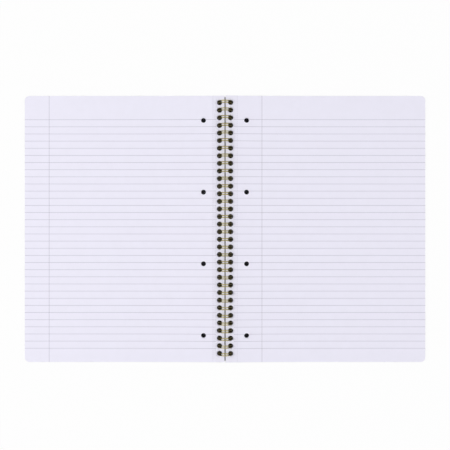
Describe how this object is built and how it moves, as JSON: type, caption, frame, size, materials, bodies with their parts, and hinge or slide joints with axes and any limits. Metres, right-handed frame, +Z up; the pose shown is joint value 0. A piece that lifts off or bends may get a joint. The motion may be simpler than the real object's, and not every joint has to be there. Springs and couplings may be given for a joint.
{
  "type": "open wire-bound notebook",
  "caption": "Open lined notebook lying flat: two blocks of leaves and two dark card covers turn on a double-wire loop binding.",
  "frame": {"origin": "middle of the spine, on the table that the open notebook lies on", "axes": "+X to the right-hand page, +Y to the top of the pages, +Z up from the table"},
  "size_m": [0.4472, 0.297, 0.0163],
  "materials": {
    "leaf_paper": "smooth uncoated writing paper with a faint lavender tint",
    "cover_card": "dense black cover card, dull",
    "coated_wire": "steel wire with a pale gold coating, satin"
  },
  "bodies": {
    "back_cover": {"back_cover": "cover_card", "binding_wire": "coated_wire"},
    "right_pages": {"right_pages": "leaf_paper"},
    "front_cover": {"front_cover": "cover_card"},
    "left_pages": {"left_pages": "leaf_paper"}
  },
  "joints": [
    {"name": "right_pages_turn", "type": "hinge", "parent": "back_cover", "child": "right_pages", "pos_m": [0, 0, 0.00815], "axis": [0, -1, 0], "range_deg": [0, 180]},
    {"name": "front_cover_turn", "type": "hinge", "parent": "back_cover", "child": "front_cover", "pos_m": [0, 0, 0.00815], "axis": [0, 1, 0], "range_deg": [0, 181.5]},
    {"name": "left_pages_turn", "type": "hinge", "parent": "front_cover", "child": "left_pages", "pos_m": [0, 0, 0.00815], "axis": [0, 1, 0], "range_deg": [0, 180]}
  ]
}
